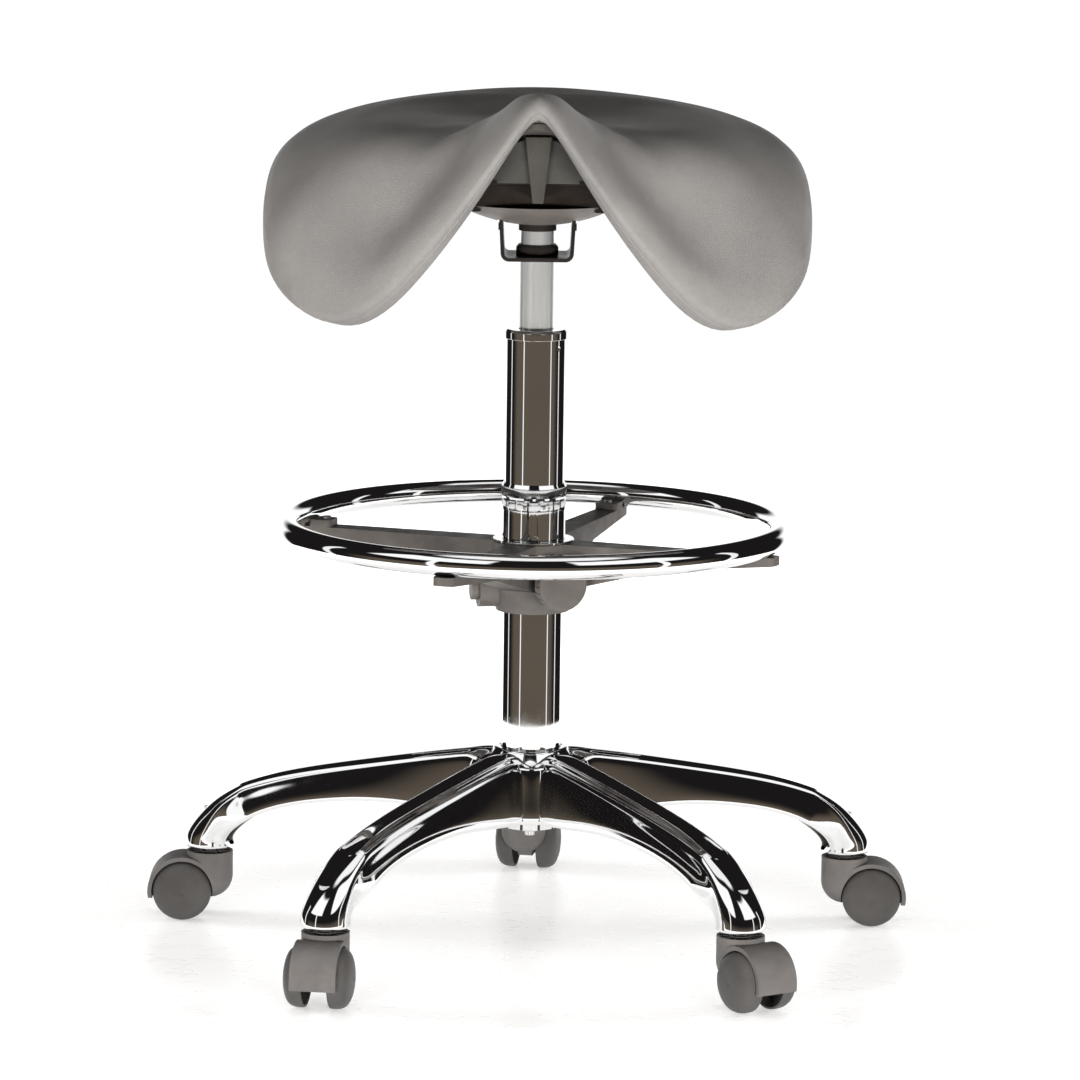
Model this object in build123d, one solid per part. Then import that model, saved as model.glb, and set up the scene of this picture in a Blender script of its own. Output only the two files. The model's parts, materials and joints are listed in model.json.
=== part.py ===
"""Dentist saddle stool: five-star base on twin-wheel casters, gas column, sliding foot ring, saddle.

Frame: millimetres, +Z up, origin on the floor under the column's axis. The pommel points to -Y.
"""
from build123d import *
import os
from math import atan2, cos, degrees, hypot, pi, radians, sin

# ---- driving dimensions -------------------------------------------------------------------------
LEG_COUNT = 5
LEG_START = 91.0            # plan angle of the first leg, degrees
CASTER_RADIUS = 286.0       # caster stem axis to the column's axis
CASTER_TOP = 58.0           # top of the caster's ribbed cap
LEG_END_Z = 62.0            # underside of a leg's end
HUB_TOP = 168.5
HUB_BOTTOM = 109.0
HUB_R = 46.0

WHEEL_R = 25.0
WHEEL_TRAIL = 23.0
WHEEL_IN = 10.5             # inner rim plane of a wheel, from the caster's middle
WHEEL_OUT = 28.5            # outermost point of a wheel's domed face
CASTER_AIM = [80.0, 180.0, 260.0, 304.0, 0.0]   # plan direction in which each caster trails
STEM_R = 5.5
AXLE_R = 3.0
HOOD_R = 29.5               # hood over the wheels, around the axle
HOOD_HALF = 19.0            # half the hood's width
HOOD_FRONT = 8.0            # the hood's sides start here, behind the stem's axis
WELL_R = 26.0               # room for a wheel inside the hood
WEB_HALF = 6.5              # half the web between the wheels
HOUSING_R = 19.7            # stem housing and its ribbed cap
HOUSING_LOW = 37.0          # where the housing's round foot starts

COLUMN_R = 25.0
COLUMN_BOTTOM = 100.0
COLUMN_TOP = 518.0
TAPER_TOP = 164.0           # the column narrows below this, into the hub's bore
TAPER_FOOT = 23.4
PLATE_R = 21.4              # end plate in the column's foot
BUSH_LOW = 425.0
CAP_LOW = 514.0
CAP_HIGH = 522.0
CAP_R = 26.3
BEARING_TOP = 111.5
BUMPER_TOP = 138.6
CYLINDER_R = 14.0
CYLINDER_BOTTOM = 139.0
CYLINDER_TOP = 640.0
ROD_R = 5.0
RUNNING = 0.05              # radial clearance of a shaft that turns or slides

RING_R = 206.3              # foot ring, centre line
RING_TUBE_R = 10.0
RING_WALL = 1.5
RING_Z = 353.8
ARM_ANGLES = [70.0, 160.0, 250.0, 340.0]
ARM_TOP = 343.5
SPIDER_BOTTOM = 285.0
SPIDER_R = 35.0
KNOB_ANGLE = 295.0
KNOB_Z = 314.0
KNOB_R = 22.0

STRAP_LOW = 581.0           # underside of the mount's strap
STRAP_T = 3.0
PLATE_BOTTOM = 630.0        # seat plate's underside
PLATE_T = 4.0
DISH_FLOOR = 609.0
DISH_R = 76.0
FRAME_TOP = 648.0           # top of the seat frame, where the shell stands
FRAME_FRONT = -64.0
PANEL_Y = -98.0             # front face of the closing wall under the nose
APRON_TOP = 656.0           # where that wall starts, above the frame's front rail
LEVER_X = 20.0              # release lever's pivot
LEVER_Z = 648.4
VALVE_TOP = 645.0
BOLT_SPOTS = [(-52, -50), (52, -50), (-52, 72), (52, 72)]

SHELL_GAP = 1.2             # between the pad's underside and the shell
SHELL_T = 5.0

NODES = {}


# ---- helpers ------------------------------------------------------------------------------------
def rod(radius, low, high, x=0.0, y=0.0):
    """Upright cylinder from z = low to z = high."""
    return Pos(x, y, low) * Cylinder(radius, high - low, align=(Align.CENTER, Align.CENTER, Align.MIN))


def block(low, high):
    """Box between two corners."""
    size = [b - a for a, b in zip(low, high)]
    return Pos(*low) * Box(*size, align=(Align.MIN, Align.MIN, Align.MIN))


def turned(points):
    """Solid of revolution about Z from (radius, z) points."""
    outline = Polyline(*[(r, 0, z) for r, z in points], close=True)
    return revolve(make_face(outline), Axis.Z, 360)


def around(shape, angle):
    return Rot(0, 0, angle) * shape


def keep(name, shape):
    """Hold a node's solids under its name."""
    NODES[name] = shape if isinstance(shape, list) else [shape]


def fused(first, *others):
    for other in others:
        first = first + other
    return first


# ---- star base ----------------------------------------------------------------------------------
LEG_CREST = [(305, LEG_END_Z + 6), (297, 87), (284, 101), (266, 112.5), (241, 123.6), (205, 134.8),
             (160, 144), (116, 152.2), (80, 159.5), (45, 165), (10, 166.5)]
LEG_UNDER = [(0, 110), (60, 110), (107, 114.5), (150, 114), (190, 108.5), (232, 97.6), (255, 86), (267, 72)]
LEG_HALF = [(0, 20.5), (45, 20.5), (110, 19.6), (190, 18.4), (250, 18.6), (286, 20.5)]


def leg_profile(drop):
    """Side view of a leg in the XZ plane, its crest lowered by drop."""
    crest = Spline(*[(r - 0.8 * drop * (r > 250), 0, z - drop) for r, z in LEG_CREST])
    under = Spline(*[(r + 0.5 * drop * (r > 250), 0, z) for r, z in LEG_UNDER])
    start, end = crest @ 0, crest @ 1
    low, mouth = under @ 1, under @ 0
    toe = Polyline(low, (low.X, 0, LEG_END_Z), (start.X, 0, LEG_END_Z), start)
    back = Line(end, mouth)
    return make_face([crest, under, toe, back])


def leg_plan(inset):
    """Plan view of a leg, narrowed by inset on each side."""
    side = Spline(*[(r, w - inset, 0) for r, w in LEG_HALF])
    tip_r = LEG_HALF[-1][1] - inset
    nose = ThreePointArc((CASTER_RADIUS, tip_r, 0), (CASTER_RADIUS + tip_r, 0, 0), (CASTER_RADIUS, -tip_r, 0))
    other = Spline(*[(r, inset - w, 0) for r, w in reversed(LEG_HALF)])
    back = Line(other @ 1, side @ 0)
    return make_face([side, nose, other, back])


def leg():
    wide = 60
    body = extrude(leg_profile(0), wide, dir=(0, 1, 0), both=True) & extrude(leg_plan(0), 200)
    hollow = extrude(leg_profile(5), wide, dir=(0, 1, 0), both=True) & extrude(leg_plan(4), 200)
    hollow = hollow + Pos(0, 0, -30) * (hollow & block((60, -40, 0), (240, 40, 200)))
    socket = rod(9, LEG_END_Z, 99, CASTER_RADIUS)
    shell = body - (hollow & block((40, -40, 0), (400, 40, 200)))
    return shell + (socket & body)


def star_base():
    hub = turned([(0, HUB_BOTTOM), (HUB_R - 1, HUB_BOTTOM), (HUB_R + 1, HUB_BOTTOM + 3), (HUB_R, 146),
                  (HUB_R - 3.5, 153.5), (35, 157.5), (31.5, 158.5), (31.5, HUB_TOP - 1), (30.5, HUB_TOP),
                  (0, HUB_TOP)])
    legs = [around(leg(), LEG_START + 360 / LEG_COUNT * i) for i in range(LEG_COUNT)]
    base = fused(hub, *legs)
    bore = turned([(0, HUB_BOTTOM - 5), (tube_radius(HUB_BOTTOM - 5), HUB_BOTTOM - 5),
                   (COLUMN_R, TAPER_TOP), (COLUMN_R, HUB_TOP + 5), (0, HUB_TOP + 5)])
    base = base - bore
    for spot in caster_spots():
        base = base - rod(STEM_R, LEG_END_Z - 1, 96, *spot)
    return base


# ---- column -------------------------------------------------------------------------------------
def tube_radius(z):
    """Outer radius of the column's tapered foot."""
    share = (z - COLUMN_BOTTOM) / (TAPER_TOP - COLUMN_BOTTOM)
    return TAPER_FOOT + (COLUMN_R - TAPER_FOOT) * share


def column():
    bore = COLUMN_R - 2
    tube = turned([(TAPER_FOOT, COLUMN_BOTTOM), (COLUMN_R, TAPER_TOP), (COLUMN_R, COLUMN_TOP),
                   (bore, COLUMN_TOP), (bore, TAPER_TOP), (PLATE_R, 106), (PLATE_R, COLUMN_BOTTOM)])
    dimple = Pos(COLUMN_R * cos(radians(-40)) + 2.2, COLUMN_R * sin(radians(-40)) - 1.9, 507) * Sphere(3.6)
    keep("column_tube", tube - dimple)
    keep("column_end_plate", rod(PLATE_R, COLUMN_BOTTOM, 104) - rod(4 + RUNNING, 90, 110))
    cap = turned([(0, CAP_LOW), (CAP_R, CAP_LOW), (CAP_R, CAP_HIGH - 2), (CAP_R - 2, CAP_HIGH),
                  (0, CAP_HIGH)])
    cap = cap - rod(COLUMN_R, CAP_LOW - 1, COLUMN_TOP) - rod(CYLINDER_R + 0.6, CAP_LOW, CAP_HIGH + 1)
    keep("column_cap", cap)
    keep("guide_bush", rod(bore, BUSH_LOW, COLUMN_TOP) - rod(CYLINDER_R + RUNNING, BUSH_LOW - 1, COLUMN_TOP + 1))


def bearing_and_rod():
    spigot = 4.0
    hole = rod(spigot + RUNNING, 90, 120)
    keep("bearing_lower_race", rod(14, 104, 106) - hole)
    ball_r = 1.75
    balls = [Pos(9.5 * cos(2 * pi * i / 12), 9.5 * sin(2 * pi * i / 12), 106 + ball_r) * Sphere(ball_r)
             for i in range(12)]
    keep("bearing_balls", balls)
    keep("bearing_upper_race", rod(14, 109.55, BEARING_TOP) - rod(spigot, 90, 120))
    groove = rod(6, 96, 97.5) - rod(3.2, 95, 98)
    rod_solid = fused(rod(ROD_R, BEARING_TOP, 416), rod(spigot, 92, BEARING_TOP), rod(3.2, 416, 430)) - groove
    keep("piston_rod", rod_solid)
    slot = block((-2.2, 0, 95), (2.2, 12, 99))
    keep("retaining_clip", rod(8, 96.1, 97.4) - rod(3.2, 95, 99) - slot)
    keep("rubber_bumper", turned([(ROD_R, BEARING_TOP), (12, BEARING_TOP), (13, 116), (11, 125), (12.5, 134),
                                  (11.5, BUMPER_TOP), (ROD_R, BUMPER_TOP)]))
    keep("piston", turned([(3.2, 416), (12.45, 416), (12.45, 420), (11.2, 420.5), (11.2, 423.5), (12.45, 424),
                           (12.45, 428), (3.2, 428)]))


def gas_cylinder():
    bore = 12.5
    shell = turned([(0, CYLINDER_BOTTOM), (CYLINDER_R, CYLINDER_BOTTOM), (CYLINDER_R, 579),
                    (taper_radius(CYLINDER_TOP), CYLINDER_TOP), (0, CYLINDER_TOP)])
    shell = shell - rod(bore, CYLINDER_BOTTOM - 1, 598) - rod(8, 597, 632) - rod(3 + RUNNING, 630, 650)
    keep("gas_cylinder", shell)
    keep("cylinder_end_guide", rod(bore, CYLINDER_BOTTOM, 160) - rod(ROD_R + RUNNING, 130, 170))
    keep("valve_body", rod(8, 598, 632) - rod(3 + RUNNING, 604, 640))
    keep("valve_pin", fused(rod(3, 612, VALVE_TOP - 1), turned([(0, VALVE_TOP - 1), (3, VALVE_TOP - 1),
                                                                (2.2, VALVE_TOP), (0, VALVE_TOP)])))


def taper_radius(z):
    """Outer radius of the cylinder's upper cone."""
    return CYLINDER_R - (z - 579) / 61


# ---- seat support -------------------------------------------------------------------------------
def cone_hole(low, high):
    return turned([(0, low), (taper_radius(low), low), (taper_radius(high), high), (0, high)])


def seat_support():
    half_top, half_low, depth, arm_at_pin = 32.5, 30.0, 30.0, 31.3
    outer = make_face(Polyline((-half_top, 0, PLATE_BOTTOM), (-half_low, 0, STRAP_LOW),
                               (half_low, 0, STRAP_LOW), (half_top, 0, PLATE_BOTTOM), close=True))
    inner = make_face(Polyline((STRAP_T - half_top, 0, PLATE_BOTTOM + 1), (STRAP_T - half_low, 0, STRAP_LOW + STRAP_T),
                               (half_low - STRAP_T, 0, STRAP_LOW + STRAP_T),
                               (half_top - STRAP_T, 0, PLATE_BOTTOM + 1), close=True))
    outside = extrude(outer, depth, dir=(0, 1, 0), both=True)
    outside = fillet(outside.edges().filter_by(Axis.Y).sort_by(Axis.Z)[:2], 7)
    inside = extrude(inner, depth + 5, dir=(0, 1, 0), both=True)
    inside = fillet(inside.edges().filter_by(Axis.Y).sort_by(Axis.Z)[:2], 4)
    bracket = outside - inside - cone_hole(579.5, 590)
    pin_hole = Pos(0, 20, 605) * Rot(0, 90, 0) * Cylinder(2, 90)
    keep("mount_bracket", bracket - pin_hole)
    stops = [Pos(side * (arm_at_pin - 1), 20, 605) * Rot(0, 90, 0) * Cylinder(2, 4.4) for side in (-1, 1)]
    heads = [Pos(side * (arm_at_pin + 0.8), 20, 605) * Rot(0, 90, 0) * Cylinder(3.2, 1.2) for side in (-1, 1)]
    keep("bracket_rivets", [stop + head for stop, head in zip(stops, heads)])

    strap_top = STRAP_LOW + STRAP_T
    collar = turned([(0, strap_top), (17.6, strap_top), (17.6, 590.5), (15.6, 593), (0, 593)])
    keep("socket_collar", collar - cone_hole(583, 594))

    top = PLATE_BOTTOM + PLATE_T
    plate = block((-66, -60, PLATE_BOTTOM), (66, 88, top))
    plate = fillet(plate.edges().filter_by(Axis.Z), 12)
    plate = plate + rod(15.7, 604.5, PLATE_BOTTOM)
    ear_low, ear_high = 5.4, 8.4
    for side in (-1, 1):
        low_y, high_y = sorted((side * ear_low, side * ear_high))
        plate = plate + block((LEVER_X - 6, low_y, top - 1), (LEVER_X + 6, high_y, LEVER_Z + 5))
    plate = plate - cone_hole(604, 640)
    for spot in BOLT_SPOTS:
        plate = plate - rod(3, PLATE_BOTTOM - 1, top + 1, *spot)
    plate = plate - lever_pin_solid(2.5)
    keep("seat_plate", plate)
    keep("lever_pin", lever_pin_solid(2.5))

    bolts = []
    for x, y in BOLT_SPOTS:
        head = rod(5, PLATE_BOTTOM - 5, PLATE_BOTTOM, x, y)
        head = head - Pos(x, y, PLATE_BOTTOM - 5) * extrude(RegularPolygon(2.6, 6), 2.8)
        bolts.append(head + rod(3, PLATE_BOTTOM, FRAME_TOP + 6, x, y))
    keep("plate_bolts", bolts)


def lever_pin_solid(radius):
    return Pos(LEVER_X, 0, LEVER_Z) * Rot(90, 0, 0) * Cylinder(radius, 18.5)


def dish_cover():
    """Shallow bowl around the socket, slotted for the bracket's two arms."""
    def bowl(radius, low):
        rise = PLATE_BOTTOM - DISH_FLOOR
        ball = (radius ** 2 + rise ** 2) / (2 * rise)
        return (Pos(0, 0, low + ball) * Sphere(ball)) & rod(radius, low - 1, PLATE_BOTTOM - 0.2)

    dish = bowl(DISH_R, DISH_FLOOR) - bowl(DISH_R - 2.5, DISH_FLOOR + 2.5)
    dish = dish - rod(16, 600, PLATE_BOTTOM)
    for side in (-1, 1):
        low_x, high_x = sorted((side * 27.6, side * 33.2))
        dish = dish - block((low_x, -30.6, 600), (high_x, 30.6, 625))
    for x, y in BOLT_SPOTS[:2]:
        dish = dish - rod(5.6, 610, PLATE_BOTTOM, x, y)
    return dish


def seat_frame():
    low = PLATE_BOTTOM + PLATE_T
    outline = Polyline((-50, FRAME_FRONT), (50, FRAME_FRONT), (74, -38), (74, 94), (-74, 94), (-74, -38), close=True)
    outside = Pos(0, 0, low) * extrude(make_face(outline), FRAME_TOP - low)
    outside = fillet(outside.edges().filter_by(Axis.Z), 10)
    inside = fillet(block((-38, -36, low - 1), (38, 56, FRAME_TOP + 1)).edges().filter_by(Axis.Z), 8)
    frame = outside - inside - block((30, -9, 631), (90, 30, FRAME_TOP + 1))
    for spot in BOLT_SPOTS:
        frame = frame - rod(3, low - 1, FRAME_TOP + 1, *spot)
    return frame


# ---- saddle -------------------------------------------------------------------------------------
# Each row is one direction from the middle of the saddle, on the right-hand side from nose to back:
# tip x, y, z of the rim; downward slope there, degrees; thickness; top heights on the way out.
MIDDLE = (0.0, 15.0)
MIDDLE_Z = 691.0
REACH = (0.35, 0.62, 0.82)
RIM = [
    (0, -152, 717, 12, 18, (699, 719, 729)),
    (11.5, -151, 705, 38, 18.5, (699, 719, 728)),
    (32, -142, 674, 50, 20.5, (698, 717, 717)),
    (54, -130, 640, 58, 22, (697, 709, 697)),
    (100, -115, 580, 62, 23, (695, 693, 652)),
    (160, -100, 536, 66, 24, (692, 675, 616)),
    (203, -66, 554, 74, 24, (692, 678, 640)),
    (218, -10, 592, 78, 24, (692, 686, 666)),
    (213, 62, 640, 68, 24, (693, 692, 682)),
    (176, 126, 664, 52, 25, (693, 697, 695)),
    (100, 163, 680, 40, 26, (692, 699, 704)),
    (0, 176, 689, 34, 26, (691, 699, 706)),
]
ROLL = 9.0                  # how far the rim's rounding reaches back from its tip
PAD_T = 27.0                # pad thickness in the middle
EXTRA_T = 3.0               # how much thicker the pad is behind its rim
STEPS = 2                   # rings between two key points of a section
SHELL_RINGS = 5             # rings of the pad's underside that the shell follows


def offset(line, i, distance):
    """Point i of a (radius, z) line, moved to the line's right by distance."""
    (r0, z0), (r1, z1) = line[i - 1], line[i + 1]
    length = hypot(r1 - r0, z1 - z0)
    return (line[i][0] + distance * (z1 - z0) / length, line[i][1] - distance * (r1 - r0) / length)


def profile(row):
    """Key points of the pad's section in one direction: (radius, z) along the top, the tip, then below."""
    x, y, z, slope, thick, heights = row
    reach = hypot(x - MIDDLE[0], y - MIDDLE[1])
    out, down = cos(radians(slope)), sin(radians(slope))
    top = [(0, MIDDLE_Z)] + [(reach * share, height) for share, height in zip(REACH, heights)]
    root = (reach - ROLL * out, z + ROLL * down)
    upper = (root[0] + down * thick / 2, root[1] + out * thick / 2)
    lower = (root[0] - down * thick / 2, root[1] - out * thick / 2)
    line = top + [upper]
    under = [offset(line, i, thick + EXTRA_T) for i in (3, 2, 1)]
    return line + [(reach, z), lower] + under + [(0, MIDDLE_Z - PAD_T)]


def smooth(line):
    """Points along a rounded curve through a section's key points, flat where it crosses the middle."""
    ends = [(-line[1][0], line[1][1])] + line + [(-line[-2][0], line[-2][1])]
    spans = [hypot(b[0] - a[0], b[1] - a[1]) for a, b in zip(ends, ends[1:])]
    result = []
    for i in range(1, len(ends) - 2):
        slopes = [[((ends[k][j] - ends[k - 1][j]) / spans[k - 1] * spans[k]
                    + (ends[k + 1][j] - ends[k][j]) / spans[k] * spans[k - 1]) / (spans[k - 1] + spans[k])
                   for j in (0, 1)] for k in (i, i + 1)]
        for step in range(STEPS):
            t = step / STEPS
            blend = (2 * t ** 3 - 3 * t ** 2 + 1, t ** 3 - 2 * t ** 2 + t, 3 * t ** 2 - 2 * t ** 3, t ** 3 - t ** 2)
            result.append(tuple(blend[0] * ends[i][j] + blend[1] * spans[i] * slopes[0][j]
                                + blend[2] * ends[i + 1][j] + blend[3] * spans[i] * slopes[1][j]
                                for j in (0, 1)))
    return result[1:]


def in_space(row, point):
    """A section point's place: the section's plane runs from the middle to the row's tip."""
    x, y = row[0] - MIDDLE[0], row[1] - MIDDLE[1]
    reach = hypot(x, y)
    return (MIDDLE[0] + x / reach * point[0], MIDDLE[1] + y / reach * point[0], point[1])


def lens(curves, first_z, last_z):
    """Closed solid through the rings that join the same point of every section's curve."""
    wires = []
    for ring in zip(*curves):
        right = [in_space(row, point) for row, point in zip(RIM, ring)]
        left = [(-x, y, z) for x, y, z in right[-2:0:-1]]
        wires.append(Wire([Spline(*right, *left, periodic=True)]))
    return Solid.make_loft([Vertex(*MIDDLE, first_z), *wires, Vertex(*MIDDLE, last_z)], ruled=True)


def seat_pad():
    return lens([smooth(profile(row)) for row in RIM], MIDDLE_Z, MIDDLE_Z - PAD_T)


def seat_shell():
    """Thin moulded tray under the pad, with four bosses down to the frame."""
    curves = []
    for row in RIM:
        under = smooth(profile(row))[-SHELL_RINGS - 1:]
        line = under + [(0, MIDDLE_Z - PAD_T)]
        top = [offset(line, i, -SHELL_GAP) for i in range(1, len(line) - 1)]
        low = [offset(line, i, -SHELL_GAP - SHELL_T) for i in range(1, len(line) - 1)]
        curves.append(top[::-1] + low)
    roof = MIDDLE_Z - PAD_T - SHELL_GAP
    tray = lens(curves, roof, roof - SHELL_T)
    for x, y in BOLT_SPOTS:
        boss = rod(9, FRAME_TOP, 661, x, y) - rod(3, FRAME_TOP - 1, FRAME_TOP + 6, x, y)
        tray = tray + boss
    return tray


def pommel_panel():
    """Closing wall under the nose, its shelf on the seat frame, and a tapered rib down the middle."""
    right = [(38, APRON_TOP), (34.5, 661), (27, 674), (19, 686), (8, 691)]
    outline = right + [(-x, z) for x, z in reversed(right)]
    wall = make_face(Polyline(*[(x, PANEL_Y, z) for x, z in outline], close=True))
    shelf = block((-34, PANEL_Y, APRON_TOP - 3), (34, FRAME_FRONT + 6, APRON_TOP))
    apron = block((-46, FRAME_FRONT, FRAME_TOP), (46, FRAME_FRONT + 6, APRON_TOP))
    rib_foot, rib_head, proud = 637.5, 691.8, 6.0
    rib = make_face(Polyline((-4.5, PANEL_Y - proud, rib_foot), (4.5, PANEL_Y - proud, rib_foot),
                             (11, PANEL_Y - proud, rib_head), (-11, PANEL_Y - proud, rib_head), close=True))
    panel = extrude(wall, 4, dir=(0, 1, 0)) + shelf + apron + extrude(rib, proud + 2, dir=(0, 1, 0))
    gusset = extrude(rib, FRAME_FRONT - PANEL_Y + proud, dir=(0, 1, 0)) - rod(200, APRON_TOP - 3, 720)
    return panel + gusset


# ---- release lever ------------------------------------------------------------------------------
LEVER_BEND = [(36, 0, 648.4), (76, 10, 640), (122, 42, 623), (168, 74, 614)]


def release_lever():
    bar = block((-6, -5, VALVE_TOP + 0.7), (38, 5, 651.6))
    path = FilletPolyline(*LEVER_BEND, radius=25)
    section = Plane(origin=path @ 0, z_dir=path % 0) * Circle(4)
    arm = sweep(section, path)
    lever = bar + arm
    keep("release_lever", lever - lever_pin_solid(2.5 + RUNNING))
    end, way = path @ 1, path % 1
    turn = degrees(atan2(way.Y, way.X))
    grip = fillet(Box(54, 26, 9).edges(), 3.5)
    grip = Pos(end.X, end.Y, end.Z) * Rot(0, 0, turn) * Pos(13, 0, 0) * grip
    keep("lever_grip", grip - arm)


# ---- foot ring ----------------------------------------------------------------------------------
def arm_solid():
    """One tapering arm with a nub that the ring rests on."""
    root, tip = SPIDER_R - 6, RING_R + 9
    side = make_face(Polyline((root, 0, ARM_TOP), (tip, 0, ARM_TOP), (tip, 0, ARM_TOP - 7),
                              (120, 0, ARM_TOP - 16), (root, 0, ARM_TOP - 40), close=True))
    plan = make_face(Polyline((root, -14, 0), (tip, -9, 0), (tip, 9, 0), (root, 14, 0), close=True))
    arm = extrude(side, 30, dir=(0, 1, 0), both=True) & extrude(plan, 400)
    return fillet(arm.edges().filter_by(Axis.Z).sort_by(Axis.X)[-2:], 6)


def foot_ring():
    ring = Pos(0, 0, RING_Z) * Torus(RING_R, RING_TUBE_R)
    hollow = Pos(0, 0, RING_Z) * Torus(RING_R, RING_TUBE_R - RING_WALL)
    vents = [around(rod(1.6, RING_Z - RING_TUBE_R - 1, RING_Z - 4, RING_R), angle) for angle in ARM_ANGLES]
    keep("foot_ring", ring - hollow - vents)
    slide = COLUMN_R + RUNNING + 0.02
    hub = turned([(0, SPIDER_BOTTOM), (31, SPIDER_BOTTOM), (SPIDER_R, 310), (SPIDER_R, ARM_TOP), (0, ARM_TOP)])
    spider = fused(hub, *[around(arm_solid(), angle) for angle in ARM_ANGLES])
    bolt_boss = Pos(0, 0, 300) * Rot(0, 90, 0) * Pos(0, 0, 36) * Cylinder(12, 22)
    bolt_nub = Pos(0, 0, 302) * Rot(0, 90, 0) * Pos(0, 0, 49) * Cylinder(8, 8)
    spider = spider + around(bolt_boss + bolt_nub, 192)
    knob_boss = Pos(0, 0, KNOB_Z) * Rot(0, 90, 0) * Pos(0, 0, 40) * Cylinder(11, 16)
    spider = spider + around(knob_boss, KNOB_ANGLE)
    ring_seat = Pos(0, 0, RING_Z) * Torus(RING_R, RING_TUBE_R)
    screw_hole = Pos(0, 0, KNOB_Z) * Rot(0, 90, 0) * Pos(0, 0, 40) * Cylinder(4 + RUNNING, 36)
    spider = spider - rod(slide, 280, 350) - ring_seat - around(screw_hole, KNOB_ANGLE)
    keep("ring_spider", spider)

    clips, screws = [], []
    for angle in ARM_ANGLES:
        pad = fillet(block((RING_R - 27, -10, ARM_TOP), (RING_R - 7, 10, ARM_TOP + 6)).edges().filter_by(Axis.Z), 4)
        pad = pad - ring_seat - rod(2.1, ARM_TOP - 20, ARM_TOP + 20, RING_R - 20)
        clips.append(around(pad, angle))
        screw = rod(3.6, ARM_TOP + 6, ARM_TOP + 8, RING_R - 20) + rod(2.1, ARM_TOP, ARM_TOP + 6, RING_R - 20)
        screw = screw - block((RING_R - 24, -0.5, ARM_TOP + 7), (RING_R - 16, 0.5, ARM_TOP + 9))
        screws.append(around(screw, angle))
    keep("ring_clips", clips)
    keep("clip_screws", screws)

    keep("hub_flange", rod(34, ARM_TOP, 345.5) - rod(slide, 340, 350))
    sleeve = rod(26.5, 345.5, 371) - rod(slide, 340, 375)
    notch = Pos(0, -26, 346) * Rot(90, 0, 0) * Cylinder(4.5, 6)
    keep("collet_sleeve", sleeve - notch)
    collet = rod(27, 371, 379) - rod(slide, 370, 380)
    for i in range(8):
        cut = block((20, -0.6, 371.5), (30, 0.6, 380))
        pip = Pos(27, 0, 374) * Sphere(1)
        collet = collet - around(cut, 45 * i + 10) - around(pip, 45 * i + 28)
    keep("collet_jaws", collet)
    bead = turned([(slide, 379), (25.8, 379), (27.2, 382), (27.2, 390), (25.8, 393), (slide, 393)])
    keep("collet_nut", bead)

    knob = Pos(0, 0, KNOB_Z) * Rot(0, 90, 0) * Pos(0, 0, 55) * Cylinder(KNOB_R, 13)
    knob = fillet(knob.edges().filter_by(GeomType.CIRCLE), 3)
    for i in range(24):
        groove = Pos(0, 0, KNOB_Z) * Rot(i * 15, 0, 0) * Pos(55, 0, KNOB_R + 0.6) * Rot(0, 90, 0) * Cylinder(1.2, 30)
        knob = knob - groove
    shank = Pos(0, 0, KNOB_Z) * Rot(0, 90, 0) * Pos(0, 0, 42) * Cylinder(4, 32)
    keep("clamp_knob", around(knob - shank, KNOB_ANGLE))
    keep("clamp_screw", around(shank, KNOB_ANGLE))


# ---- casters ------------------------------------------------------------------------------------
def caster_spots():
    angles = [radians(LEG_START + 360 / LEG_COUNT * i) for i in range(LEG_COUNT)]
    return [(CASTER_RADIUS * cos(a), CASTER_RADIUS * sin(a)) for a in angles]


def axle_rod(radius, low, high):
    """Cylinder on the caster's axle, which runs along Y at the trail distance."""
    middle = (low + high) / 2
    return Pos(WHEEL_TRAIL, middle, WHEEL_R) * Rot(90, 0, 0) * Cylinder(radius, high - low)


def caster_body():
    """Round stem housing with a ribbed cap, the hood over both wheels, and the web between the wheels."""
    front_low, rear_low, cap_floor = 13.0, 19.0, 54.5
    hood = axle_rod(HOOD_R, -HOOD_HALF, HOOD_HALF) - block((-30, -30, -5), (HOOD_FRONT, 30, HOUSING_LOW - 1))
    housing = rod(HOUSING_R, HOUSING_LOW, CASTER_TOP) + Pos(0, 0, HOUSING_LOW) * Sphere(HOUSING_R)
    body = hood + housing
    for low, high in ((WEB_HALF, 40), (-40, -WEB_HALF)):
        body = body - axle_rod(WELL_R, low, high)
    body = body - block((-30, -30, -5), (WHEEL_TRAIL, 30, front_low)) - block((WHEEL_TRAIL, -30, -5), (60, 30, rear_low))
    recess = rod(17.8, cap_floor, 60) - rod(8.5, 50, 60)
    for i in range(12):
        recess = recess - around(block((8, -0.6, 50), (18.5, 0.6, CASTER_TOP - 0.4)), 30 * i)
    body = body - recess - rod(STEM_R + RUNNING, 34, 60) - axle_rod(AXLE_R, -10, 10)
    return body


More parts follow.
